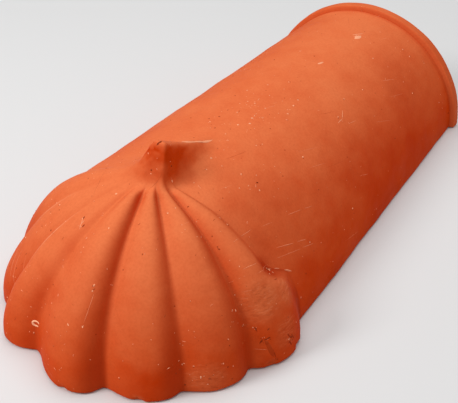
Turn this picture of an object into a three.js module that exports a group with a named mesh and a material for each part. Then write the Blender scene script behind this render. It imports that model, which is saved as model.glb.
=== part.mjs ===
// A half-round roof tile of fired clay, closed at its front end by a scallop shell.
// It is one solid: a tapered half barrel, hollow and open below, with a raised collar round its open far
// end, seven rounded lobes that fan out over the front end, and a knob at the top of the fan.
// Millimetres. x runs across the tile, y along it with the collar at +y, and z up from the bed at z = 0.
// The origin is the middle of the tile's length and width, on the bed.
import * as THREE from 'three';
import { mergeVertices } from 'three/addons/utils/BufferGeometryUtils.js';

// Barrel
const nearHalfWidth = 105.5;
const nearHeight = 99;
const farHalfWidth = 95.5;
const farHeight = 95.5;
const barrelLength = 336;
const wall = 12;

// Collar round the open end
const collarLength = 12;
const collarStep = 4.5;
const collarRound = 2;

// Shell, as it stands on the bed: its reach in front of the fan's axis and its wrap behind it.
// Its rear edge stands farther forward above a ledge, which lies between two shares of the fall to the bed.
const shellReach = 103.5;
const shellWrap = 26;
const shellFullness = 1.87;
const sideFullness = 2;
const upperRearEdge = 94.5;
const ledgeTop = 0.62;
const ledgeFoot = 0.69;

// Lobes: the grooves between them in degrees from the middle, and for each lobe from left to right how far
// it stands out from the smooth shell by the knob and at the bed, and how late it grows between the two
const grooves = [-62, -38, -17.5, 16, 44.5, 71];
const topBulges = [4, 0, 0.5, 4.5, 4, 3.5, 2];
const bedBulges = [8, 10.5, 13.5, 12, 7, 6, 12];
const growths = [7, 7.5, 6, 1.6, 1.6, 1.6, 1.6];
const lobeSpring = 0.68;

// For each lobe from left to right: where it starts by the knob and over what length it rises, its skew (its
// crest lies nearer the right groove above 1), and how much fuller its right flank is than an arc
const lobeStarts = [20, 20, 16, 12, 12, 12, 12];
const lobeRises = [45, 45, 35, 9, 9, 9, 9];
const skews = [1, 0.65, 0.65, 1.4, 1.2, 1.2, 1];
const flankFullness = [0, 0, 0, 0.6, 0.5, 0.5, 0.5];
const flankPower = 4;
const innerLobeShare = 0.5;

// Knob, set back from the fan's axis: it slopes on its left and in front and is steep on its right,
// and a ridge falls and narrows behind it
const knobHeight = 29;
const knobSetback = 6;
const knobOffset = 2.5;
const knobLeftHalfWidth = 13;
const knobLeftSteepness = 2.6;
const knobRightHalfWidth = 10.5;
const knobRightSteepness = 7;
const knobHalfDepth = 10;
const knobFrontSteepness = 2.8;
const ridgeLength = 62;
const ridgeHollow = 1.4;
const ridgeEndHalfWidth = 3.5;

// Steps of the surface
const stepsPerLobe = 8;
const rings = 22;
const ringSpread = 1.35;
const staveRows = 13;
const rowSpread = 1.6;

const quarterTurn = Math.PI / 2;
const lastLobe = bedBulges.length - 1;
const shellFront = shellReach + bedBulges[lastLobe / 2];
const fanY = (shellFront - barrelLength - collarLength) / 2;
const farY = fanY + barrelLength;
const knobY = fanY + knobSetback;
const lastEdge = Math.PI - Math.atan2(nearHalfWidth, shellWrap);

// Power of a value that rounding may have left just below zero
const power = (value, exponent) => Math.pow(Math.max(0, value), exponent);

// Height that the knob and its ridge add at a place in plan
function knobRise(x, y) {
  const behind = THREE.MathUtils.clamp((y - knobY) / ridgeLength, 0, 1);
  const leftHalfWidth = THREE.MathUtils.lerp(knobLeftHalfWidth, ridgeEndHalfWidth, behind);
  const rightHalfWidth = THREE.MathUtils.lerp(knobRightHalfWidth, ridgeEndHalfWidth, behind);
  const toLeft = power((knobOffset - x) / leftHalfWidth, knobLeftSteepness);
  const toRight = power((x - knobOffset) / rightHalfWidth, knobRightSteepness);
  const toFront = power((knobY - y) / knobHalfDepth, knobFrontSteepness);
  return knobHeight * power(1 - behind, ridgeHollow) / (1 + toLeft + toRight + toFront);
}

// Direction of the shell's right rear edge at a fall from the top (0) to the bed (1)
function rearEdge(fall) {
  const below = THREE.MathUtils.smoothstep(fall, ledgeTop, ledgeFoot);
  return THREE.MathUtils.lerp(THREE.MathUtils.degToRad(upperRearEdge), lastEdge, below);
}

// Direction of a place across one lobe, to the right of the middle
function lobeDirection(lobe, share, fall) {
  const left = lobe > 0 ? THREE.MathUtils.degToRad(grooves[lobe - 1]) : -rearEdge(fall);
  const right = lobe < lastLobe ? THREE.MathUtils.degToRad(grooves[lobe]) : rearEdge(fall);
  return THREE.MathUtils.lerp(left, right, share);
}

// Point of the outer skin with the knob added, and of the inner skin as it is
function finished(point, inner) {
  if (!inner && point.z > 0) point.z += knobRise(point.x, point.y);
  return point;
}

// Share of a lobe's bulge at a share of its width: a skewed arc that springs up from the grooves
function lobeArch(lobe, share) {
  const across = 2 * share ** skews[lobe] - 1;
  const spring = Math.sqrt(1 - lobeSpring ** 2);
  const arc = (Math.sqrt(1 - (lobeSpring * across) ** 2) - spring) / (1 - spring);
  if (across < 0) return arc;
  return THREE.MathUtils.lerp(arc, 1 - across ** flankPower, flankFullness[lobe]);
}

// Radius of the smooth shell at the bed, in one direction from the fan's axis
function bedRadius(direction, inset) {
  const side = nearHalfWidth - inset;
  const front = shellReach - inset;
  const sine = Math.sin(Math.abs(direction));
  if (Math.abs(direction) > quarterTurn) return side / sine;
  return 1 / Math.hypot(sine / side, Math.cos(direction) / front);
}

// Point of the shell on one lobe, at a share of the lobe's width and a fall from the top (0) to the bed (1)
function shellPoint(lobe, share, fall, inner) {
  const inset = inner ? wall : 0;
  const direction = lobeDirection(lobe, share, fall);
  const fullness = THREE.MathUtils.lerp(sideFullness, shellFullness, power(Math.cos(direction), 4));
  const out = power(Math.sin(fall * quarterTurn), 2 / fullness);
  const up = fall < 1 ? power(Math.cos(fall * quarterTurn), 2 / fullness) : 0;
  const bed = bedRadius(direction, inset);
  const height = nearHeight - inset;
  const lean = new THREE.Vector2(power(out, fullness - 1) / bed, power(up, fullness - 1) / height);
  lean.normalize();
  const start = THREE.MathUtils.smoothstep(bed * out, lobeStarts[lobe], lobeStarts[lobe] + lobeRises[lobe]);
  const skinShare = inner ? innerLobeShare : 1;
  const crest = THREE.MathUtils.lerp(topBulges[lobe], bedBulges[lobe], power(out, growths[lobe]));
  const bulge = skinShare * crest * lobeArch(lobe, share) * start;
  const radius = bed * out + bulge * lean.x;
  const z = height * up + bulge * lean.y;
  return new THREE.Vector3(radius * Math.sin(direction), fanY - radius * Math.cos(direction), z);
}

// Point of the barrel's far section on one side, grown by the collar's step
function sectionPoint(side, fall, growth, y) {
  const x = side * (farHalfWidth + growth) * Math.sin(fall * quarterTurn);
  const z = fall < 1 ? (farHeight + growth) * Math.cos(fall * quarterTurn) : 0;
  return new THREE.Vector3(x, y, z);
}

// The collar's profile: place along the barrel and growth of the section
function collarProfile() {
  const slope = collarRound / 2;
  return [
    [slope, collarStep - slope],
    [slope + collarRound, collarStep],
    [collarLength - collarRound, collarStep],
    [collarLength, collarStep - collarRound],
  ];
}

// One stave of the barrel: a straight run from the shell's rear edge to the far section, then the collar
function stave(side, fall, inner) {
  const inset = inner ? wall : 0;
  const front = side < 0 ? shellPoint(0, 0, fall, inner) : shellPoint(lastLobe, 1, fall, inner);
  const far = sectionPoint(side, fall, -inset, farY);
  const points = [];
  for (let row = 0; row <= staveRows; row += 1) {
    const share = (row / staveRows) ** rowSpread;
    points.push(finished(front.clone().lerp(far, share), inner));
  }
  for (const [along, growth] of collarProfile()) {
    points.push(sectionPoint(side, fall, inner ? -inset : growth, farY + along));
  }
  return points;
}

const fallOf = (ring) => (ring / rings) ** ringSpread;

// The shell's skin as lines of points that run down from the fan's axis, from the left end to the right
function shellSkin(inner) {
  const lines = [];
  for (let step = 0; step <= bedBulges.length * stepsPerLobe; step += 1) {
    const lobe = Math.min(Math.floor(step / stepsPerLobe), lastLobe);
    const share = step / stepsPerLobe - lobe;
    const line = [];
    for (let ring = 0; ring <= rings; ring += 1) {
      line.push(finished(shellPoint(lobe, share, fallOf(ring), inner), inner));
    }
    lines.push(line);
  }
  return lines;
}

// The barrel's skin as staves, from the left bed over the crest to the right bed
function barrelSkin(inner) {
  const staves = [];
  for (let ring = rings; ring > 0; ring -= 1) staves.push(stave(-1, fallOf(ring), inner));
  for (let ring = 0; ring <= rings; ring += 1) staves.push(stave(1, fallOf(ring), inner));
  return staves;
}

// Collects triangles, and leaves out those that shrink to a line where a skin closes to a point
class Surface {
  constructor() {
    this.corners = [];
  }

  triangle(a, b, c) {
    const area = b.clone().sub(a).cross(c.clone().sub(a)).length();
    if (area > 1e-6) this.corners.push(...a.toArray(), ...b.toArray(), ...c.toArray());
  }

  // Joins two lines of points by quads; swapped turns the faces over
  strip(first, second, swapped) {
    const [left, right] = swapped ? [second, first] : [first, second];
    for (let i = 0; i + 1 < first.length; i += 1) {
      this.triangle(left[i], left[i + 1], right[i + 1]);
      this.triangle(left[i], right[i + 1], right[i]);
    }
  }

  skin(lines, swapped) {
    for (let i = 0; i + 1 < lines.length; i += 1) this.strip(lines[i], lines[i + 1], swapped);
  }

  geometry() {
    const loose = new THREE.BufferGeometry();
    loose.setAttribute('position', new THREE.Float32BufferAttribute(this.corners, 3));
    const closed = mergeVertices(loose, 1e-3);
    closed.computeVertexNormals();
    return closed;
  }
}

// The whole tile: outer and inner skins of the shell and the barrel, joined along the bed and the end face
function tileGeometry() {
  const surface = new Surface();
  const [shell, shellInside] = [shellSkin(false), shellSkin(true)];
  const [barrel, barrelInside] = [barrelSkin(false), barrelSkin(true)];
  surface.skin(shell, false);
  surface.skin(shellInside, true);
  surface.skin(barrel, true);
  surface.skin(barrelInside, false);
  const rim = (lines) => lines.map((line) => line[line.length - 1]);
  surface.strip(rim(shell), rim(shellInside), true);
  surface.strip(barrel[0], barrelInside[0], false);
  surface.strip(barrel[barrel.length - 1], barrelInside[barrel.length - 1], true);
  surface.strip(rim(barrel), rim(barrelInside), false);
  return surface.geometry();
}

const firedClay = new THREE.MeshStandardMaterial({ color: 0xc9582f, roughness: 0.85, metalness: 0 });
const tile = new THREE.Mesh(tileGeometry(), firedClay);
tile.name = 'shell_ridge_tile';

const part = new THREE.Group();
part.add(tile);
export default part;
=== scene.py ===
"""A shell-ended ridge tile of fired clay on a pale studio floor.

The tile is one piece. Its surface follows the solid's, mostly from the same sizes, with closer steps, a
softer ledge behind the right lobe and a fuller ridge behind the knob. It adds soft grooves, rounded edges,
and the crumbs, scratches, chips and worn patches of a hand-finished clay tile.
"""

import math
import random

import bmesh
import bpy
import numpy as np
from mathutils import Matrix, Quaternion, Vector, noise
from mathutils.bvhtree import BVHTree


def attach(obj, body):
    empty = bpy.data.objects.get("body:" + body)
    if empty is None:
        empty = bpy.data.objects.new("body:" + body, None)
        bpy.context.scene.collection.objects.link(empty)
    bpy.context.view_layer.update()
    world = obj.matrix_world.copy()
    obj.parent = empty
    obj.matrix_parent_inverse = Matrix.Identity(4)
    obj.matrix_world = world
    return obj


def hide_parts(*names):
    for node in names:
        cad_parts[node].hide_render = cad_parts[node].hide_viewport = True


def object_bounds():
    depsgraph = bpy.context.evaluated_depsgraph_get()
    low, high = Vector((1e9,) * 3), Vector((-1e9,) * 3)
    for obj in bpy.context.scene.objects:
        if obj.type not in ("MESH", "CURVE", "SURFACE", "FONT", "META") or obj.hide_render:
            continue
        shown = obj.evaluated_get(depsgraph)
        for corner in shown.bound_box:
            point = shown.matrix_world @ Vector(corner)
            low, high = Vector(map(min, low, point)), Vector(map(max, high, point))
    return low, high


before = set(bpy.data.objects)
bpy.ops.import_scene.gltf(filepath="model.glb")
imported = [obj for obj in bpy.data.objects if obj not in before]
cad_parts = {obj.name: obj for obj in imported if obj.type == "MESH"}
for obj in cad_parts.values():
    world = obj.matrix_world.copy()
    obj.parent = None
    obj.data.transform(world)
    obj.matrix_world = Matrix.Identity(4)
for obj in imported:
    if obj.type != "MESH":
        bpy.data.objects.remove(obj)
cad_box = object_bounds()

MM = 0.001
QUARTER = math.pi / 2

# Barrel, in millimetres
NEAR_HALF_WIDTH = 105.5
NEAR_HEIGHT = 99.0
FAR_HALF_WIDTH = 95.5
FAR_HEIGHT = 95.5
BARREL_LENGTH = 336.0
WALL = 12.0

# Collar round the open end, the shade painted in its foot and how much darker its crown is
COLLAR_LENGTH = 12.0
COLLAR_STEP = 4.5
COLLAR_FOOT_SHADE = 0.55
COLLAR_CROWN_DARKENING = 0.3

# Shell: its rear edge stands farther forward above a ledge, which lies between two shares of the fall
SHELL_REACH = 103.5
SHELL_WRAP = 26.0
SHELL_FULLNESS = 1.87
SIDE_FULLNESS = 2.0
UPPER_REAR_EDGE = 94.5
LEDGE_TOP = 0.605
LEDGE_FOOT = 0.72

# Grooves in degrees from the middle, and for each lobe from left to right how far it stands out by the knob
# and at the bed, how late it grows, where it starts, over what length it rises, its skew and its right flank
GROOVES = (-62.0, -38.0, -17.5, 16.0, 44.5, 71.0)
TOP_BULGES = (4.0, 0.0, 0.5, 4.5, 4.0, 3.5, 2.0)
BED_BULGES = (8.0, 10.5, 13.5, 12.0, 7.0, 6.0, 12.0)
GROWTHS = (7.0, 7.5, 6.0, 1.6, 1.6, 1.6, 1.6)
LOBE_SPRING = 0.68
LOBE_STARTS = (12.0, 20.0, 16.0, 12.0, 12.0, 12.0, 12.0)
LOBE_RISES = (68.0, 45.0, 35.0, 12.0, 11.0, 11.0, 14.0)
SKEWS = (1.0, 0.65, 0.65, 1.4, 1.2, 1.2, 1.0)
FLANK_FULLNESS = (0.0, 0.0, 0.0, 0.6, 0.5, 0.5, 0.5)
FLANK_POWER = 4.0
INNER_LOBE_SHARE = 0.5

# Softness of the grooves and of the right lobe's rear edge, for each lobe how much shade is painted along its
# right flank, how much shade is painted on the right lobe's ledge, and for each lobe how much a crest stands
# up at its left edge, with a pale tone that is a painted highlight
GROOVE_SOFTNESS = 0.04
REAR_EDGE_SOFTNESS = 0.3
PAINTED_GROOVE_SHADES = (0.1, 0.2, 0.45, 1.0, 1.0, 1.0, 0.0)
PAINTED_LEDGE_SHADE = 1.5
LEFT_CRESTS = (0.0, 0.45, 0.6, 0.0, 0.0, 0.0, 0.0)
CREST_HEIGHT = 0.6

# Knob and the ridge behind it; each side of the knob has its half width and steepness
KNOB_HEIGHT = 29.0
KNOB_SETBACK = 6.0
KNOB_OFFSET = 2.5
KNOB_LEFT = (13.0, 2.6)
KNOB_RIGHT = (10.5, 7.0)
KNOB_FRONT = (10.0, 2.8)
RIDGE_LENGTH = 62.0
RIDGE_HOLLOW = 1.32
RIDGE_END_HALF_WIDTH = 4.5
RIDGE_END_STEEPNESS = 2.0

# Steps of the surface; the inner skin takes every second one
STEPS_PER_LOBE = 26
RINGS = 124
ROWS = 116

# Rounding of the outer edge along the bed, and of the inner edge at the end face
BED_ROUND = 2.2
LIP_ROUND = 1.0

# Size in millimetres and height of each layer of the unevenness, and how far it lies inwards on the whole
OUTER_LAYERS = ((52.0, 0.6), (19.0, 0.32), (7.0, 0.1))
OUTER_SINK = 0.4
INNER_LAYER = (24.0, 0.6)
CHIP_DEPTH = 2.2

# Marks on the outer skin: station along the tile and angle round it from the top, for the start and the end,
# then width and tone. Pale scratches and smears have a tone above 0, and dark cracks have one below. The
# broad pale smears on the ridge behind the knob and on the barrel's top are painted highlights
MARKS = (
    (-64, 49, -49, 51.6, 0.5, 0.3),
    (-46, 52.2, -36, 54, 0.4, 0.35),
    (-92, 55, -74, 59, 0.6, 0.25),
    (-71, 59.6, -60, 62, 0.4, 0.3),
    (-97, 58, -70, 63, 0.5, 0.2),
    (-68, 63.2, -54, 66, 0.4, 0.3),
    (-128, 41, -116, 41.8, 0.6, 0.3),
    (-113, 42, -100, 43, 0.4, 0.35),
    (-135, 50, -121, 52, 0.5, 0.4),
    (-131, 54, -108, 57, 0.4, 0.25),
    (64, 33, 56, 36, 0.6, 0.6),
    (56, 36, 47, 36, 0.5, 0.6),
    # Painted highlight along the ridge's crest behind the knob
    (-86, 1.0, -70, 1.8, 3.0, 0.5),
    (-74, 1.4, -52, 3.2, 2.8, 0.5),
    # Painted highlight: a soft sheen on the barrel's top
    (163, 8.4, 173, 9.6, 4.2, 0.6),
    (166, 7.6, 172, 9.0, 2.4, 0.8),
    (168, 5.4, 178, 9.4, 1.5, 0.5),
    (100, 6.2, 107, 7.4, 2.6, 0.55),
    (-161, -16.5, -170, -15.6, 0.7, 0.5),
    (-163, -15.0, -168, -16.4, 0.9, 0.45),
    (-200, 12.4, -213, 16.6, 0.4, 0.4),
    (-175, -60, -190, -70, 0.4, 0.4),
    (-178, -56, -196, -72, 0.4, 0.35),
    (-172, -63, -186, -74, 0.4, 0.35),
    (-182, -52, -200, -66, 0.4, 0.3),
    (-186, -49, -206, -60, 0.4, 0.3),
    (-144, 78.2, -141.6, 76.6, 1.5, -0.8),
    (-141.8, 77.2, -137.4, 76.9, 1.3, -0.85),
    (-141.2, 77.4, -139.2, 81.0, 3.2, -0.4),
    (-140.6, 78.0, -137.8, 86.4, 3.8, -0.28),
    (-137.4, 83.2, -136.4, 88.0, 0.8, -0.55),
    (-143.6, 70.6, -143.2, 73.2, 1.0, -0.7),
    (-138.4, 74.0, -136.6, 73.4, 1.0, -0.75),
    (-125.6, 79.4, -122.8, 82.2, 1.6, -0.5),
    (-122.2, 80.6, -119.8, 83.6, 1.3, -0.6),
    (-125.2, 82.4, -123.0, 85.2, 1.4, -0.55),
    (-113, 56.6, -107, 58.8, 1.0, -0.5),
    (-118, 60.4, -112, 61.6, 1.2, -0.45),
    (-96, 63.4, -89, 66.6, 1.5, 0.4),
    (-104, 60.0, -99, 61.8, 0.9, 0.3),
    (-111, 57.8, -106, 59.4, 0.8, 0.35),
    (-114.2, 1.2, -110.2, 2.2, 1.7, -0.95),
)

# Clusters of small crumbs and pits: station, angle, spread in millimetres, number and share of light ones
CLUSTERS = (
    (-141, 77.5, 3.0, 10, 0.3),
    (-123, 82, 3.0, 14, 0.3),
    (-143, 71.5, 1.6, 5, 0.4),
    (-112, 59.5, 4.0, 10, 0.5),
    (15, 4, 26.0, 44, 0.9),
    (-20, 6, 26.0, 34, 0.85),
    (-60, 22, 30.0, 26, 0.8),
    (-165, -16, 3.5, 8, 0.7),
    (-198, 11, 2.0, 5, 0.4),
    (-214, 17, 1.4, 4, 0.3),
    (168, 8, 3.0, 8, 1.0),
    (-178, 80, 9.0, 12, 0.4),
    (-112, 3, 12.0, 14, 0.6),
)

# Chips in the edge along the bed, and worn patches on the right lobe and in front of it: middle and radius
CHIPS = (
    ((54, -213, 2), 5.0),
    ((-8, -231, 6), 4.0),
    ((6, -231, 2), 4.0),
    ((110, -139, 3), 5.0),
    ((117, -113, 2), 5.0),
)
WORN_PATCHES = (
    ((98, -134, 50), 18.0),
    ((105, -112, 46), 12.0),
    ((113, -124, 22), 14.0),
    ((86, -181, 12), 16.0),
)

# Painted shade round the knob, behind the right lobe and on the barrel's right: middle, radius and depth
PAINTED_SHADES = (
    ((5, -121, 110), 14.0, 0.55),
    ((-12, -122, 106), 12.0, 0.4),
    ((15, -101, 100), 14.0, 0.9),
    ((90, -111, 62), 15.0, 1.2),
    ((78, -98, 71), 24.0, 0.5),
    ((70, -82, 76), 46.0, 0.45),
    ((60, 150, 72), 40.0, 0.4),
)

# Where the knob and its ridge are rough: middle and radius
ROUGH_KNOB = (((1, -112, 112), 26.0), ((2, -90, 108), 24.0), ((2, -66, 102), 18.0))

# The pale ring near the foot of the shell: middle, half width, half height, and its line's width and height
RING_MIDDLE = (-31.4, -212.3, 24.1)
RING_HALF_WIDTH = 2.5
RING_HALF_HEIGHT = 1.8
RING_LINE = (1.9, 0.6)

# Marks that are strewn at random: their seed, their numbers, the share of pale ones, the share of pale crumbs
# with a dark crumb beside them as a painted shadow, and the size up to which a crumb has 20 faces, not 80
MARK_SEED = 11
CRUMBS = 360
FLECKS = 130
SCRATCHES = 45
PALE_SHARE = 0.66
SHADOWED_CRUMB_SHARE = 0.45
FINE_CRUMB = 0.45

# Colours of the clay, in red, green and blue up to 255
CLAY = ((202, 56, 2), (212, 66, 6))
# The bloom's colour, which is also the colour of painted light on the sides that face up
BLOOM_AND_LIT_CLAY = (226, 117, 70)
DARK_GRAIN = (170, 50, 14)
LIGHT_GRIT = (244, 160, 118)
DARK_PITS = (128, 34, 8)
# Painted shade in the grooves, hollows and the collar's foot, and the collar's darker crown
PAINTED_SHADE_AND_DARKER_CLAY = (176, 46, 6)
WORN_DARK = (150, 42, 10)
WORN_PALE = (238, 140, 96)
# Pale marks, and painted highlights on the crests, the ridge and the barrel's top
LIGHT_MARKS_AND_HIGHLIGHTS = (255, 190, 150)
# Dark marks, and the painted shadows beside pale crumbs
DARK_MARKS_AND_SHADOWS = (112, 28, 6)

# The photograph's view: direction in degrees, place in metres, and focal length in pixels at that image width
CAMERA_AZIMUTH = 32.94
CAMERA_ELEVATION = 35.97
CAMERA_PLACE = (0.3049, -0.4925, 0.4291)
FOCAL_PIXELS = 860.0
IMAGE_PIXELS = 458.0

# Studio, in metres: each lamp's name, place, width and power
LAMPS = (("key", (-0.75, -1.1, 1.15), 0.6, 12.5), ("overhead", (0.0, 0.2, 1.7), 1.8, 19.0))
LAMP_TARGET = (0.0, 0.0, 0.06)
SKY_STRENGTH = 0.33
FLOOR_HALF_WIDTH = 6.0
FLOOR_DROP = 0.0002
FLOOR_GREY = 0.72

LAST_LOBE = len(BED_BULGES) - 1
SHELL_FRONT = SHELL_REACH + BED_BULGES[LAST_LOBE // 2]
FAN_Y = (SHELL_FRONT - BARREL_LENGTH - COLLAR_LENGTH) / 2
FAR_Y = FAN_Y + BARREL_LENGTH
KNOB_Y = FAN_Y + KNOB_SETBACK
LAST_EDGE = math.pi - math.atan2(NEAR_HALF_WIDTH, SHELL_WRAP)


def mix(a, b, share):
    return a + (b - a) * share


def smooth(value, low, high):
    share = np.clip((value - low) / (high - low), 0.0, 1.0)
    return share * share * (3.0 - 2.0 * share)


def spaced(count, density, samples=8001):
    """count + 1 values from 0 to 1, closer together where the density is high."""
    fine = np.linspace(0.0, 1.0, samples)
    weight = np.cumsum(density(fine))
    weight = (weight - weight[0]) / (weight[-1] - weight[0])
    return np.interp(np.linspace(0.0, 1.0, count + 1), weight, fine)


def knob_rise(x, y):
    """Height that the knob and its ridge add at a place in plan."""
    behind = np.clip((y - KNOB_Y) / RIDGE_LENGTH, 0.0, 1.0)
    across = 0.0
    for (half_width, steepness), beyond in ((KNOB_LEFT, KNOB_OFFSET - x), (KNOB_RIGHT, x - KNOB_OFFSET)):
        width = mix(half_width, RIDGE_END_HALF_WIDTH, behind)
        falling = mix(steepness, RIDGE_END_STEEPNESS, np.sqrt(behind))
        across = across + (np.maximum(0.0, beyond) / width) ** falling
    half_depth, steepness = KNOB_FRONT
    ahead = (np.maximum(0.0, KNOB_Y - y) / half_depth) ** steepness
    return KNOB_HEIGHT * (1.0 - behind) ** RIDGE_HOLLOW / (1.0 + across + ahead)


def lobe_arch(lobe, share):
    """Share of a lobe's bulge at a share of its width.

    It is a skewed arc between soft grooves, fuller on its right.
    """
    place = 2.0 * share ** np.array(SKEWS)[lobe] - 1.0
    edge = (1.0 - np.abs(place)) / 2.0
    softness = np.where((lobe == LAST_LOBE) & (place > 0.0), REAR_EDGE_SOFTNESS, GROOVE_SOFTNESS)
    soft = np.sqrt(edge**2 + softness**2) - softness
    full = np.sqrt(0.25 + softness**2) - softness
    across = 1.0 - soft / full
    spring = math.sqrt(1.0 - LOBE_SPRING**2)
    arc = (np.sqrt(1.0 - (LOBE_SPRING * across) ** 2) - spring) / (1.0 - spring)
    fullness = np.where(place > 0.0, np.array(FLANK_FULLNESS)[lobe], 0.0)
    return mix(arc, 1.0 - across**FLANK_POWER, fullness)


def rear_edge(fall):
    """Direction of the shell's right rear edge at a fall from the top (0) to the bed (1)."""
    return mix(math.radians(UPPER_REAR_EDGE), LAST_EDGE, smooth(fall, LEDGE_TOP, LEDGE_FOOT))


def lobe_direction(lobe, share, fall):
    """Direction of a place across one lobe, to the right of the middle."""
    grooves = np.radians(GROOVES)
    rear = rear_edge(fall)
    left = np.where(lobe > 0, grooves[np.maximum(lobe - 1, 0)], -rear)
    right = np.where(lobe < LAST_LOBE, grooves[np.minimum(lobe, LAST_LOBE - 1)], rear)
    return mix(left, right, share)


def bed_radius(direction, inset):
    """Radius of the smooth shell at the bed, in one direction from the fan's axis."""
    side = NEAR_HALF_WIDTH - inset
    front = SHELL_REACH - inset
    sine = np.sin(np.abs(direction))
    round_front = 1.0 / np.hypot(sine / side, np.cos(direction) / front)
    return np.where(np.abs(direction) > QUARTER, side / np.maximum(sine, 1e-9), round_front)


def shell_points(lobe, share, fall, inner):
    """Points of the shell on lobes, at shares of their width and falls from the top (0) to the bed (1)."""
    inset = WALL if inner else 0.0
    direction = lobe_direction(lobe, share, fall)
    ahead = np.maximum(0.0, np.cos(direction)) ** 4
    fullness = mix(SIDE_FULLNESS, SHELL_FULLNESS, ahead)
    out = np.maximum(0.0, np.sin(fall * QUARTER)) ** (2.0 / fullness)
    up = np.where(fall < 1.0, np.maximum(0.0, np.cos(fall * QUARTER)) ** (2.0 / fullness), 0.0)
    bed = bed_radius(direction, inset)
    height = NEAR_HEIGHT - inset
    lean_out = out ** (fullness - 1.0) / bed
    lean_up = up ** (fullness - 1.0) / height
    lean = np.hypot(lean_out, lean_up)
    first, rise = np.array(LOBE_STARTS)[lobe], np.array(LOBE_RISES)[lobe]
    start = smooth(bed * out, first, first + rise)
    skin_share = INNER_LOBE_SHARE if inner else 1.0
    growth = out ** np.array(GROWTHS)[lobe]
    crest = mix(np.array(TOP_BULGES)[lobe], np.array(BED_BULGES)[lobe], growth)
    bulge = skin_share * crest * lobe_arch(lobe, share) * start
    radius = bed * out + bulge * lean_out / lean
    z = height * up + bulge * lean_up / lean
    return np.stack([radius * np.sin(direction), FAN_Y - radius * np.cos(direction), z], axis=-1)


def section_points(side, fall, growth, y):
    """Points of the barrel's far section, grown by the collar's step."""
    x = side * (FAR_HALF_WIDTH + growth) * np.sin(fall * QUARTER)
    z = np.where(fall < 1.0, (FAR_HEIGHT + growth) * np.cos(fall * QUARTER), 0.0)
    return np.stack([x, np.full_like(x, y), z], axis=-1)


def add_knob(points):
    rise = knob_rise(points[..., 0], points[..., 1])
    points[..., 2] += np.where(points[..., 2] > 0.0, rise, 0.0)
    return points


def near(value, place, width):
    """A bump of height 1 at a place, which fades over the width on both sides."""
    return np.exp(-(((value - place) / width) ** 2))


# Falls from the top to the bed, shares of a lobe's width and shares of the barrel's length
FALLS = spaced(RINGS, lambda f: 1 + 1.5 * near(f, 0, 0.17) + 3.5 * near(f, 1, 0.018))
SHARES = spaced(STEPS_PER_LOBE, lambda s: 1 + 2.2 * near(np.minimum(s, 1 - s), 0, 0.1))
ROW_SHARES = spaced(ROWS, lambda s: 1 + 1.6 * near(s, 0, 0.16) + near(s, 1, 0.03))


def collar_profile():
    """Places along the collar and the section's growth there, from a soft foot to a rounded end."""
    foot = [(0.15, 0.06), (0.4, 0.2), (0.7, 0.42), (1.0, 0.62)]
    crown = [(1.4, 0.78), (1.9, 0.9), (2.5, 0.975), (3.2, 1.0)]
    flat = [(4.4, 0.993), (5.6, 1.0), (6.8, 0.99), (8.0, 1.0), (9.2, 1.0)]
    end = [(10.0, 1.0), (10.7, 0.975), (11.3, 0.9), (11.7, 0.79), (11.92, 0.67), (12.0, 0.53)]
    face = [(12.0, 0.27)]
    return [(along, COLLAR_STEP * share) for along, share in foot + crown + flat + end + face]


def shell_grid(inner):
    """Lines of points from the left end round to the right, each down from the fan's axis.

    With them go the shade painted in the grooves and on the ledge, and how much the crests stand up; the
    crests' pale tone is a painted highlight.
    """
    lobe = np.repeat(np.arange(LAST_LOBE + 1), STEPS_PER_LOBE)
    share = np.tile(SHARES[:-1], LAST_LOBE + 1)
    lobe = np.append(lobe, LAST_LOBE)
    share = np.append(share, 1.0)
    points = shell_points(lobe[:, None], share[:, None], FALLS[None, :], inner)
    # Painted shade along each lobe's right flank and into the groove beyond, deeper lower down
    left_groove_shades = np.array((0.0,) + PAINTED_GROOVE_SHADES[:-1])[lobe]
    right_groove_shades = np.array(PAINTED_GROOVE_SHADES)[lobe]
    shade_and_darkening = left_groove_shades * (1.0 - smooth(share, 0.0, 0.08)) + right_groove_shades * smooth(share, 0.62, 0.9)
    start = smooth(np.hypot(points[..., 0], points[..., 1] - FAN_Y), 10.0, 28.0)
    shade_and_darkening = shade_and_darkening[:, None] * start * (1.0 + 0.5 * smooth(FALLS, 0.55, 0.9))[None, :]
    # Painted shade on the right lobe's ledge and down its rear edge
    rear = (lobe == LAST_LOBE) * smooth(share, 0.62, 0.95)
    ledge = near(FALLS, (LEDGE_TOP + LEDGE_FOOT) / 2.0 - 0.01, 0.07)
    shade_and_darkening += PAINTED_LEDGE_SHADE * rear[:, None] * (ledge + smooth(FALLS, LEDGE_FOOT, 0.85))[None, :]
    # A crest at the left edge of some lobes: real relief, with a pale tone that is a painted highlight
    reach = smooth(FALLS, 0.3, 0.5) * (1.0 - smooth(FALLS, 0.85, 0.97))
    crest = (np.array(LEFT_CRESTS)[lobe] * near(share, 0.035, 0.03))[:, None] * reach[None, :]
    return (points if inner else add_knob(points)), shade_and_darkening, crest


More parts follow.
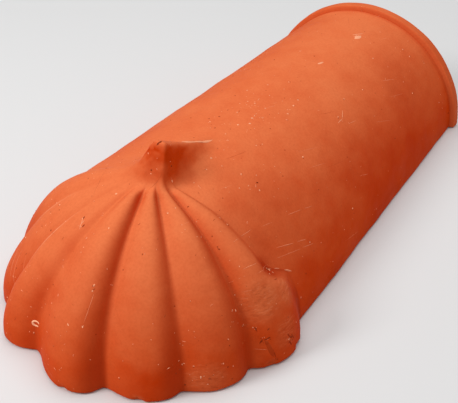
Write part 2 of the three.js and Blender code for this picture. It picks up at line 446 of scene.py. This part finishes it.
def stave_grid(inner):
    """Staves from the left bed over the top to the right bed, each from the shell to the end face.

    With them go the shade painted in the collar's foot, how much darker its crown is, and crests of height 0.
    """
    inset = WALL if inner else 0.0
    falls = np.concatenate([FALLS[:0:-1], FALLS])
    sides = np.concatenate([-np.ones(RINGS), np.ones(RINGS + 1)])
    lobe = np.where(sides < 0, 0, LAST_LOBE)
    share = np.where(sides < 0, 0.0, 1.0)
    front = shell_points(lobe, share, falls, inner)
    far = section_points(sides, falls, -inset, FAR_Y)
    rows = mix(front[:, None, :], far[:, None, :], ROW_SHARES[None, :, None])
    if not inner:
        rows = add_knob(rows)
    ends = []
    for along, growth in collar_profile():
        if inner:
            growth = LIP_ROUND * max(0.0, along + 1.0 - COLLAR_LENGTH) - inset
        ends.append(section_points(sides, falls, growth, FAR_Y + along))
    points = np.concatenate([rows, np.stack(ends, axis=1)], axis=1)
    shade_and_darkening = np.zeros(points.shape[:2])
    if not inner:
        foot = len(ROW_SHARES)
        crown = foot + 6
        # Painted shade in the crease at the collar's foot, and a plain darker tone on its crown and end
        shade_and_darkening[:, foot - 2 : foot + 1] = COLLAR_FOOT_SHADE
        shade_and_darkening[:, crown:] = COLLAR_CROWN_DARKENING
    return points, shade_and_darkening, np.zeros(shade_and_darkening.shape)


class Skin:
    """Collects grids of points with their values, and the faces between them."""

    def __init__(self):
        self.points = []
        self.values = []
        self.faces = []
        self.count = 0

    def add(self, points, values):
        numbers = np.arange(points.shape[0] * points.shape[1]).reshape(points.shape[:2]) + self.count
        self.points.append(points.reshape(-1, 3))
        self.values.append(values.reshape(-1, values.shape[-1]))
        self.count += numbers.size
        return numbers

    def quads(self, grid, turned):
        a, b = grid[:-1, :-1].ravel(), grid[:-1, 1:].ravel()
        c, d = grid[1:, 1:].ravel(), grid[1:, :-1].ravel()
        self.faces += list(zip(d, c, b, a)) if turned else list(zip(a, b, c, d))

    def strip(self, fine, coarse, turned):
        """Joins a line of points to one with half as many steps."""
        for i in range(len(coarse) - 1):
            left, mid, right = fine[2 * i], fine[2 * i + 1], fine[2 * i + 2]
            low, high = coarse[i], coarse[i + 1]
            for face in ((left, mid, low), (mid, high, low), (mid, right, high)):
                self.faces.append(face[::-1] if turned else face)


def merged(points, values, faces):
    """The same surface with each place held once, and without faces that shrink to a line."""
    _, first, renumbered = np.unique(np.round(points, 3), axis=0, return_index=True, return_inverse=True)
    renumbered = renumbered.ravel()
    kept = []
    for face in faces:
        corners = list(dict.fromkeys(int(renumbered[corner]) for corner in face))
        if len(corners) > 2:
            kept.append(corners)
    return points[first], values[first], kept


def tile_arrays():
    """Points in millimetres, their painted shade and darkening, skin (1 outside, 0 inside) and crest, and the
    closed faces.
    """
    skin = Skin()
    numbers = {}
    for name, grid in (("shell", shell_grid), ("barrel", stave_grid)):
        for inner in (False, True):
            points, shade_and_darkening, crest = grid(inner)
            values = np.stack([shade_and_darkening, np.full(shade_and_darkening.shape, 0.0 if inner else 1.0), crest], axis=-1)
            step = 2 if inner else 1
            numbers[name, inner] = skin.add(points[::step, ::step], values[::step, ::step])
    shell, shell_inside = numbers["shell", False], numbers["shell", True]
    barrel, barrel_inside = numbers["barrel", False], numbers["barrel", True]
    skin.quads(shell, False)
    skin.quads(shell_inside, True)
    skin.quads(barrel, True)
    skin.quads(barrel_inside, False)
    skin.strip(shell[:, -1], shell_inside[:, -1], True)
    skin.strip(barrel[0], barrel_inside[0], False)
    skin.strip(barrel[-1], barrel_inside[-1], True)
    skin.strip(barrel[:, -1], barrel_inside[:, -1], False)
    return merged(np.concatenate(skin.points), np.concatenate(skin.values), skin.faces)


def vertex_normals(points, faces):
    """The surface's direction at each of its points."""
    mesh = bpy.data.meshes.new("bare_tile")
    mesh.from_pydata(points.tolist(), [], faces)
    normals = np.empty(len(mesh.vertices) * 3)
    mesh.vertex_normals.foreach_get("vector", normals)
    bpy.data.meshes.remove(mesh)
    return normals.reshape(-1, 3)


def noise_at(points, size, seed):
    """Smooth noise between about -1 and 1 whose lumps are about the given size in millimetres."""
    shift = Vector((seed * 17.3, seed * -9.1, seed * 5.7))
    return np.array([noise.noise(Vector(p) / size + shift) for p in points.tolist()])


def closeness(points, places):
    """1 at the middle of any of the given balls, falling to 0 at their surface."""
    most = np.zeros(len(points))
    for middle, radius in places:
        most = np.maximum(most, 1.0 - np.linalg.norm(points - middle, axis=1) / radius)
    return most


def weathered(points, values, faces):
    """The skin's points rubbed, chipped and pushed by hand, and how worn each is."""
    normals = vertex_normals(points, faces)
    outside = values[:, 1]

    # The outer edge along the bed is rubbed round
    level = normals * [1.0, 1.0, 0.0]
    level /= np.maximum(np.linalg.norm(level, axis=1), 1e-6)[:, None]
    reach = BED_ROUND * (1.0 + 0.45 * noise_at(points, 16.0, 1))
    below = np.clip(1.0 - points[:, 2] / reach, 0.0, 1.0)
    moved = points - level * (reach * (1.0 - np.sqrt(1.0 - below**2)) * outside)[:, None]

    # Hand-worked unevenness, then the worn patches, the chips, the crests and the rough knob
    push = sum(height * noise_at(points, size, seed) for seed, (size, height) in enumerate(OUTER_LAYERS, 2))
    size, height = INNER_LAYER
    push = np.where(outside > 0.5, push - OUTER_SINK, height * noise_at(points, size, 5))
    worn = outside * np.clip(closeness(points, WORN_PATCHES) * 2.0, 0.0, 1.0)
    chipped = outside * closeness(points, CHIPS)
    push += worn * (0.35 * noise_at(points, 4.0, 6) - 0.1)
    push -= CHIP_DEPTH * chipped * (1.0 + 0.5 * noise_at(points, 3.0, 7))
    push += CREST_HEIGHT * outside * values[:, 2]
    rough = outside * np.clip(closeness(points, ROUGH_KNOB) * 1.6, 0.0, 1.0)
    push += rough * (0.7 * noise_at(points, 9.0, 9) + 0.35 * noise_at(points, 4.0, 10) - 0.2)
    moved += normals * push[:, None]
    moved[:, 2] = np.where(points[:, 2] < 0.01, 0.0, np.maximum(moved[:, 2], 0.02))
    return moved, np.maximum(worn, np.clip(chipped * 2.0, 0.0, 1.0))


class Marks:
    """Small closed lumps and slivers half sunk in the outer skin, with tones from -1 (dark) to 1 (light)."""

    def __init__(self, points, faces, low, high):
        self.tree = BVHTree.FromPolygons(points.tolist(), faces)
        self.low, self.high = low, high
        self.points = []
        self.faces = []
        self.tones = []
        self.balls = [self.ball(1), self.ball(2)]

    @staticmethod
    def ball(subdivisions):
        """Points and faces of a ball of radius 1."""
        shape = bmesh.new()
        bmesh.ops.create_icosphere(shape, subdivisions=subdivisions, radius=1.0)
        points = np.array([vertex.co[:] for vertex in shape.verts])
        faces = [[vertex.index for vertex in face.verts] for face in shape.faces]
        shape.free()
        return points, faces

    def hit(self, centre, away):
        """Place and normal where a line from far out to a centre first meets the tile."""
        place, normal, _, _ = self.tree.ray_cast(centre + away * 250.0, -away, 260.0)
        return place, normal

    def around(self, station, angle):
        """Place and normal at a station and an angle round the tile."""
        turn = math.radians(angle)
        return self.hit(Vector((0.0, station, 0.0)), Vector((math.sin(turn), 0.0, math.cos(turn))))

    def keep(self, points, faces, tone):
        """Adds a closed lump, unless it reaches past the solid's box."""
        points = np.array(points)
        if (points < self.low).any() or (points > self.high).any():
            return
        start = sum(len(made) for made in self.points)
        self.points.append(points)
        self.faces += [[corner + start for corner in face] for face in faces]
        self.tones.append(np.full(len(points), tone))

    def crumb(self, place, normal, size, rng, tone):
        """A rough flattened ball."""
        side = normal.orthogonal().normalized()
        side.rotate(Quaternion(normal, rng.uniform(0.0, math.tau)))
        other = normal.cross(side)
        stretch = rng.uniform(0.7, 1.5)
        height = rng.uniform(0.45, 0.8)
        axes = np.array([side * size * stretch, other * size / stretch, normal * size * height])
        ball_points, ball_faces = self.balls[size > FINE_CRUMB]
        rough = 1.0 + 0.22 * np.array([rng.uniform(-1.0, 1.0) for _ in ball_points])
        points = np.array(place) - np.array(normal) * size * 0.2 + (ball_points * rough[:, None]) @ axes
        self.keep(points, ball_faces, tone)

    def sliver(self, path, width, height, rng, tone):
        """A thin raised line along a path near the surface."""
        spots = [self.tree.find_nearest(point)[:2] for point in path]
        points = [spots[0][0]]
        for i in range(1, len(spots) - 1):
            place, normal = spots[i]
            along = (spots[i + 1][0] - spots[i - 1][0]).normalized()
            side = normal.cross(along).normalized()
            taper = math.sqrt(math.sin(math.pi * i / (len(spots) - 1))) * rng.uniform(0.65, 1.2)
            half, up = side * width * taper / 2.0, normal * height * taper
            points += [place + half - up * 0.2, place + up, place - half - up * 0.2, place - up * 2.0]
        points.append(spots[-1][0])
        faces = []
        last = len(points) - 1
        for k in range(4):
            turn = (k + 1) % 4
            faces.append((0, 1 + turn, 1 + k))
            for ring in range(1, last - 4, 4):
                faces.append((ring + k, ring + turn, ring + 4 + turn, ring + 4 + k))
            faces.append((last, last - 4 + k, last - 4 + turn))
        self.keep([tuple(point) for point in points], faces, tone)

    def cluster(self, station, angle, spread, count, light, rng):
        """Crumbs and pits round a place given by station and angle."""
        for _ in range(count):
            away = spread * math.sqrt(rng.random())
            turn = rng.uniform(0.0, math.tau)
            around = math.degrees(away * math.sin(turn) / FAR_HALF_WIDTH)
            place, normal = self.around(station + away * math.cos(turn), angle + around)
            tone = rng.uniform(0.3, 0.85) if rng.random() < light else -rng.uniform(0.4, 0.9)
            if place is not None:
                self.crumb(place, normal, 0.3 + 0.55 * rng.random() ** 2, rng, tone)

    def fleck(self, place, normal, half_length, rng, tone):
        """A short bent sliver."""
        along = normal.orthogonal().normalized()
        along.rotate(Quaternion(normal, rng.uniform(0.0, math.tau)))
        bend = normal.cross(along) * rng.uniform(-0.4, 0.4)
        path = [place + (along * t + bend * t * t) * half_length for t in (-1.0, -0.5, 0.0, 0.5, 1.0)]
        self.sliver(path, rng.uniform(0.3, 0.6), 0.2, rng, tone)

    def line(self, start, end, width, height, rng, tone):
        """A sliver between two places given by station and angle, a little crooked."""
        steps = max(4, int(abs(end[0] - start[0]) / 2.5) + int(abs(end[1] - start[1]) / 2.0))
        path = []
        for i in range(steps + 1):
            share = i / steps
            wander = 0.06 * rng.uniform(-1.0, 1.0)
            place, _ = self.around(mix(start[0], end[0], share), mix(start[1], end[1], share) + wander)
            if place is not None:
                path.append(place)
        if len(path) > 3:
            self.sliver(path, width, height, rng, tone)


def somewhere(marks, rng):
    """A random place on the outer skin and its normal."""
    if rng.random() > 0.5:
        return marks.around(rng.uniform(FAN_Y, FAR_Y + COLLAR_LENGTH - 1.0), rng.uniform(-86, 86))
    turn = math.radians(rng.uniform(-100, 100))
    sine = rng.uniform(0.06, 0.97)
    cosine = math.sqrt(1.0 - sine**2)
    away = Vector((math.sin(turn) * cosine, -math.cos(turn) * cosine, sine))
    return marks.hit(Vector((0.0, FAN_Y, 0.0)), away)


def tone_of(rng):
    """A random tone, more often pale than dark."""
    return rng.uniform(0.35, 0.95) if rng.random() < PALE_SHARE else -rng.uniform(0.3, 0.9)


def add_placed_marks(marks, rng):
    """The scratches, smears, cracks, ring and clusters that stand where the photograph shows them."""
    # Some of these pale smears are painted highlights, on the ridge behind the knob and the barrel's top
    for start, angle, end, end_angle, width, tone in MARKS:
        marks.line((start, angle), (end, end_angle), width, 0.16 * width + 0.06, rng, tone)
    ring = []
    for turn in [math.radians(20 + 28 * i) for i in range(12)]:
        away = Vector((RING_HALF_WIDTH * math.cos(turn), 0.0, RING_HALF_HEIGHT * math.sin(turn)))
        ring.append(Vector(RING_MIDDLE) + away)
    marks.sliver(ring, *RING_LINE, rng, 1.0)
    for station, angle, spread, count, light in CLUSTERS:
        marks.cluster(station, angle, spread, count, light, rng)


def add_scratches(marks, rng):
    """Faint scratches that run along the tile, a little aslant."""
    for _ in range(SCRATCHES):
        station, angle = rng.uniform(FAN_Y - 60, FAR_Y), rng.uniform(-75, 80)
        length = rng.uniform(5.0, 24.0)
        slope = rng.uniform(0.1, 0.3) if angle > 0 else rng.uniform(-0.3, 0.1)
        tone = rng.uniform(0.15, 0.4) if rng.random() < 0.7 else -rng.uniform(0.15, 0.4)
        end = (station + length, angle + slope * length)
        marks.line((station, angle), end, rng.uniform(0.25, 0.4), 0.08, rng, tone)


def add_grit(marks, rng):
    """Flecks and crumbs, and a dark crumb beside some of the pale ones as their painted shadow."""
    for _ in range(FLECKS):
        place, normal = somewhere(marks, rng)
        if place is not None:
            marks.fleck(place, normal, rng.uniform(0.5, 1.4), rng, 0.75 * tone_of(rng))
    for _ in range(CRUMBS):
        place, normal = somewhere(marks, rng)
        if place is None:
            continue
        size, tone = 0.22 + 0.5 * rng.random() ** 2, tone_of(rng)
        marks.crumb(place, normal, size, rng, tone)
        # A dark crumb beside a pale one is painted as its shadow
        if tone > 0.0 and rng.random() < SHADOWED_CRUMB_SHARE:
            beside = Vector((rng.uniform(-1.0, 1.0), rng.uniform(-1.0, 1.0), rng.uniform(-1.0, 0.0)))
            beside = (beside - normal * beside.dot(normal)).normalized() * size * 1.5
            marks.crumb(place + beside, normal, 0.7 * size, rng, -0.6)


def painted_darkening(moved, values):
    """Painted shade in the grooves, on the ledge, in the collar's foot and in the shade balls, and the darker
    collar crown.
    """
    shades = np.zeros(len(moved))
    for middle, radius, depth in PAINTED_SHADES:
        shade = depth * smooth(closeness(moved, ((middle, radius),)), 0.0, 0.75)
        shades = np.maximum(shades, shade)
    shades *= values[:, 1] * (1.0 + 0.7 * noise_at(moved, 11.0, 12))
    return np.clip(values[:, 0] + shades, 0.0, 2.0)


def make_tile():
    """The tile and its marks as one mesh, with its painted shade and darkening, wear and tone at each point.
    """
    points, values, faces = tile_arrays()
    moved, worn = weathered(points, values, faces)
    low, high = [np.array(corner) / MM for corner in cad_box]
    moved = np.clip(moved, low, high)
    marks = Marks(moved, faces, low, high)
    rng = random.Random(MARK_SEED)
    add_placed_marks(marks, rng)
    add_scratches(marks, rng)
    add_grit(marks, rng)
    count = len(moved)
    mark_points = np.concatenate(marks.points)
    blank = np.zeros(len(mark_points))
    # The crests' pale tone is a painted highlight
    crests = values[:, 2] * (0.6 + 0.5 * noise_at(moved, 9.0, 8))
    faces = faces + [[corner + count for corner in face] for face in marks.faces]
    mesh = bpy.data.meshes.new("shell_ridge_tile_clay")
    mesh.from_pydata((np.concatenate([moved, mark_points]) * MM).tolist(), [], faces)
    for name, value in (
        ("painted_shade_and_darkening", np.concatenate([painted_darkening(moved, values), blank])),
        ("worn", np.concatenate([worn, blank])),
        ("tone", np.concatenate([crests, *marks.tones])),
    ):
        attribute = mesh.attributes.new(name, "FLOAT", "POINT")
        attribute.data.foreach_set("value", value.astype(np.float32))
    mesh.shade_smooth()
    mesh.set_sharp_from_angle(angle=math.radians(50))
    mesh.update()
    tile = bpy.data.objects.new("shell_ridge_tile_clay", mesh)
    bpy.context.collection.objects.link(tile)
    return tile


class Graph:
    """Adds nodes to a material by type, with their inputs and settings."""

    def __init__(self, material):
        material.use_nodes = True
        self.tree = material.node_tree
        self.tree.nodes.clear()

    def node(self, kind, inputs=None, **settings):
        made = self.tree.nodes.new(kind)
        for name, value in settings.items():
            setattr(made, name, value)
        for name, value in (inputs or {}).items():
            socket = made.inputs[name]
            if isinstance(value, bpy.types.NodeSocket):
                self.tree.links.new(value, socket)
            else:
                socket.default_value = value
        return made

    def attribute(self, name):
        return self.node("ShaderNodeAttribute", attribute_name=name).outputs["Fac"]

    def math(self, operation, a, b=0.0, clamp=False):
        return self.node("ShaderNodeMath", {0: a, 1: b}, operation=operation, use_clamp=clamp).outputs[0]

    def noise(self, coords, size, detail=2.0, roughness=0.5):
        """Noise whose lumps are about the given size in millimetres."""
        inputs = {"Vector": coords, "Scale": 1000.0 / size, "Detail": detail, "Roughness": roughness}
        return self.node("ShaderNodeTexNoise", inputs).outputs["Fac"]

    def steps(self, value, low, high, start=0.0, end=1.0):
        inputs = {"Value": value, "From Min": low, "From Max": high, "To Min": start, "To Max": end}
        return self.node("ShaderNodeMapRange", inputs, clamp=True, interpolation_type="SMOOTHSTEP").outputs[0]

    def blend(self, share, a, b):
        made = self.node("ShaderNodeMix", {0: share, 6: a, 7: b}, data_type="RGBA")
        return made.outputs[2]

    def dots(self, coords, spacing, size, share):
        """Round spots of a size in a share of the cells of a size, in millimetres."""
        cells = {"Vector": coords, "Scale": 1000.0 / spacing, "Randomness": 1.0}
        voronoi = self.node("ShaderNodeTexVoronoi", cells, feature="F1")
        chosen = self.node("ShaderNodeSeparateColor", {0: voronoi.outputs["Color"]}).outputs[0]
        radius = size / spacing
        spot = self.steps(voronoi.outputs["Distance"], 0.55 * radius, radius, 1.0, 0.0)
        return self.math("MULTIPLY", spot, self.steps(chosen, 1.0 - share, 1.02 - share))


def srgb(red, green, blue):
    """A linear colour from red, green and blue between 0 and 255."""
    parts = [v / 255.0 for v in (red, green, blue)]
    return tuple(v / 12.92 if v <= 0.04045 else ((v + 0.055) / 1.055) ** 2.4 for v in parts) + (1.0,)


def fired_clay():
    """Unglazed terracotta with grit, pits, worn patches, painted shade in the grooves and painted light on
    upward sides.
    """
    material = bpy.data.materials.new("fired_clay")
    graph = Graph(material)
    coords = graph.node("ShaderNodeTexCoord")
    place = coords.outputs["Object"]
    facing = graph.node("ShaderNodeSeparateXYZ", {0: coords.outputs["Normal"]}).outputs["Z"]
    painted_shade_and_darkening, worn, tone = [graph.attribute(name) for name in ("painted_shade_and_darkening", "worn", "tone")]

    clouds = graph.noise(place, 60.0, 3.0, 0.55)
    mottle = graph.noise(place, 14.0, 3.0, 0.55)
    grain = graph.noise(place, 1.8, 2.0, 0.5)

    # Red clay with a pale bloom at random, on worn patches, at the front and on the collar; painted light on
    # upward sides
    clay = graph.blend(graph.steps(clouds, 0.3, 0.7), *[srgb(*colour) for colour in CLAY])
    bloom_and_painted_light = graph.math("MULTIPLY", graph.math("SUBTRACT", clouds, 0.5), 0.7)
    bloom_and_painted_light = graph.math("ADD", bloom_and_painted_light, graph.math("MULTIPLY", graph.math("SUBTRACT", mottle, 0.5), 0.35))
    station = graph.node("ShaderNodeSeparateXYZ", {0: place}).outputs["Y"]
    bloom_and_painted_light = graph.math("ADD", bloom_and_painted_light, graph.steps(station, -0.16, -0.08, 0.16, -0.09))
    # Painted light: the sides that face up are paler, where the light falls on them
    painted_top_light = graph.node("ShaderNodeMapRange", {"Value": facing, "From Min": 0.25, "From Max": 1.0}).outputs[0]
    bloom_and_painted_light = graph.math("ADD", bloom_and_painted_light, graph.math("MULTIPLY", worn, 0.22))
    bloom_and_painted_light = graph.math("ADD", bloom_and_painted_light, painted_top_light, clamp=True)
    bloom_and_painted_light = graph.math("MAXIMUM", bloom_and_painted_light, graph.steps(station, 0.2185, 0.221, 0.0, 0.55))
    colour = graph.blend(bloom_and_painted_light, clay, srgb(*BLOOM_AND_LIT_CLAY))
    colour = graph.blend(graph.steps(grain, 0.35, 0.75, 0.0, 0.12), colour, srgb(*DARK_GRAIN))

    # Light grit and dark pits
    grit = graph.dots(place, 5.0, 0.5, 0.16)
    pits = graph.dots(place, 7.5, 0.6, 0.22)
    colour = graph.blend(graph.math("MULTIPLY", grit, 0.6), colour, srgb(*LIGHT_GRIT))
    colour = graph.blend(graph.math("MULTIPLY", pits, 0.65), colour, srgb(*DARK_PITS))

    # Painted shade in the grooves and hollows, worn patches, and crumbs and scratches with painted highlights
    # and shadows
    # Painted shade from the mesh attribute, and the collar crown's darker tone
    colour = graph.blend(graph.math("MULTIPLY", painted_shade_and_darkening, 0.45, clamp=True), colour, srgb(*PAINTED_SHADE_AND_DARKER_CLAY))
    streaked = graph.node("ShaderNodeMapping", {"Vector": place, "Scale": (0.55, 0.4, 1.5)}).outputs[0]
    ragged = graph.noise(streaked, 2.6, 4.0, 0.65)
    darker = graph.math("MULTIPLY", worn, graph.steps(ragged, 0.52, 0.66, 0.0, 0.28))
    paler = graph.math("MULTIPLY", worn, graph.steps(ragged, 0.48, 0.34, 0.0, 0.3))
    colour = graph.blend(darker, colour, srgb(*WORN_DARK))
    colour = graph.blend(paler, colour, srgb(*WORN_PALE))
    colour = graph.blend(graph.math("MULTIPLY", tone, 1.0, clamp=True), colour, srgb(*LIGHT_MARKS_AND_HIGHLIGHTS))
    colour = graph.blend(graph.math("MULTIPLY", tone, -1.0, clamp=True), colour, srgb(*DARK_MARKS_AND_SHADOWS))

    height = graph.math("ADD", graph.math("MULTIPLY", grain, 0.35), graph.noise(place, 6.0, 3.0, 0.55))
    height = graph.math("ADD", height, graph.math("MULTIPLY", grit, 0.5))
    height = graph.math("SUBTRACT", height, graph.math("MULTIPLY", pits, 0.9))
    height = graph.math("ADD", height, graph.math("MULTIPLY", worn, graph.math("MULTIPLY", ragged, 2.2)))
    bump = graph.node("ShaderNodeBump", {"Strength": 0.6, "Distance": 0.0005, "Height": height}).outputs[0]

    shader = graph.node(
        "ShaderNodeBsdfPrincipled",
        {
            "Base Color": colour,
            "Roughness": graph.steps(mottle, 0.3, 0.7, 0.5, 0.66),
            "Normal": bump,
            "Specular IOR Level": 0.02,
        },
    )
    graph.node("ShaderNodeOutputMaterial", {"Surface": shader.outputs[0]})
    return material


def make_floor():
    """A pale floor just under the bed."""
    material = bpy.data.materials.new("studio_floor")
    graph = Graph(material)
    grey = (FLOOR_GREY, FLOOR_GREY, FLOOR_GREY, 1.0)
    shader = graph.node("ShaderNodeBsdfPrincipled", {"Base Color": grey, "Roughness": 0.9})
    graph.node("ShaderNodeOutputMaterial", {"Surface": shader.outputs[0]})
    mesh = bpy.data.meshes.new("floor")
    half = FLOOR_HALF_WIDTH
    corners = [(-half, -half, 0), (half, -half, 0), (half, half, 0), (-half, half, 0)]
    mesh.from_pydata(corners, [], [(0, 1, 2, 3)])
    mesh.materials.append(material)
    floor = bpy.data.objects.new("floor", mesh)
    floor.location.z = -FLOOR_DROP
    bpy.context.collection.objects.link(floor)


def area_light(name, place, size, power):
    """A round soft lamp turned towards the tile."""
    light = bpy.data.lights.new(name, "AREA")
    light.shape = "DISK"
    light.size = size
    light.energy = power
    lamp = bpy.data.objects.new(name, light)
    lamp.location = place
    lamp.rotation_euler = (Vector(LAMP_TARGET) - Vector(place)).to_track_quat("-Z", "Y").to_euler()
    bpy.context.collection.objects.link(lamp)


def make_lights():
    """A soft key from the front left, a broad light overhead, and an even pale sky that gives no gloss."""
    for lamp in LAMPS:
        area_light(*lamp)
    world = bpy.data.worlds.new("studio")
    world.use_nodes = True
    background = world.node_tree.nodes["Background"]
    background.inputs["Color"].default_value = (1.0, 1.0, 1.0, 1.0)
    background.inputs["Strength"].default_value = SKY_STRENGTH
    bpy.context.scene.world = world
    world.cycles_visibility.glossy = False


def make_camera():
    """The photograph's view of the tile."""
    azimuth, elevation = math.radians(CAMERA_AZIMUTH), math.radians(CAMERA_ELEVATION)
    level = math.cos(elevation)
    back = Vector((math.sin(azimuth) * level, -math.cos(azimuth) * level, math.sin(elevation)))
    data = bpy.data.cameras.new("camera")
    data.sensor_width = 36.0
    data.lens = FOCAL_PIXELS / IMAGE_PIXELS * data.sensor_width
    data.clip_start, data.clip_end = 0.05, 50.0
    camera = bpy.data.objects.new("camera", data)
    camera.location = CAMERA_PLACE
    camera.rotation_euler = (-back).to_track_quat("-Z", "Y").to_euler()
    bpy.context.collection.objects.link(camera)
    bpy.context.scene.camera = camera


tile = make_tile()
tile.data.materials.append(fired_clay())
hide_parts("shell_ridge_tile")
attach(tile, "root")
make_floor()
make_lights()
make_camera()
bpy.context.scene.view_settings.view_transform = "Standard"
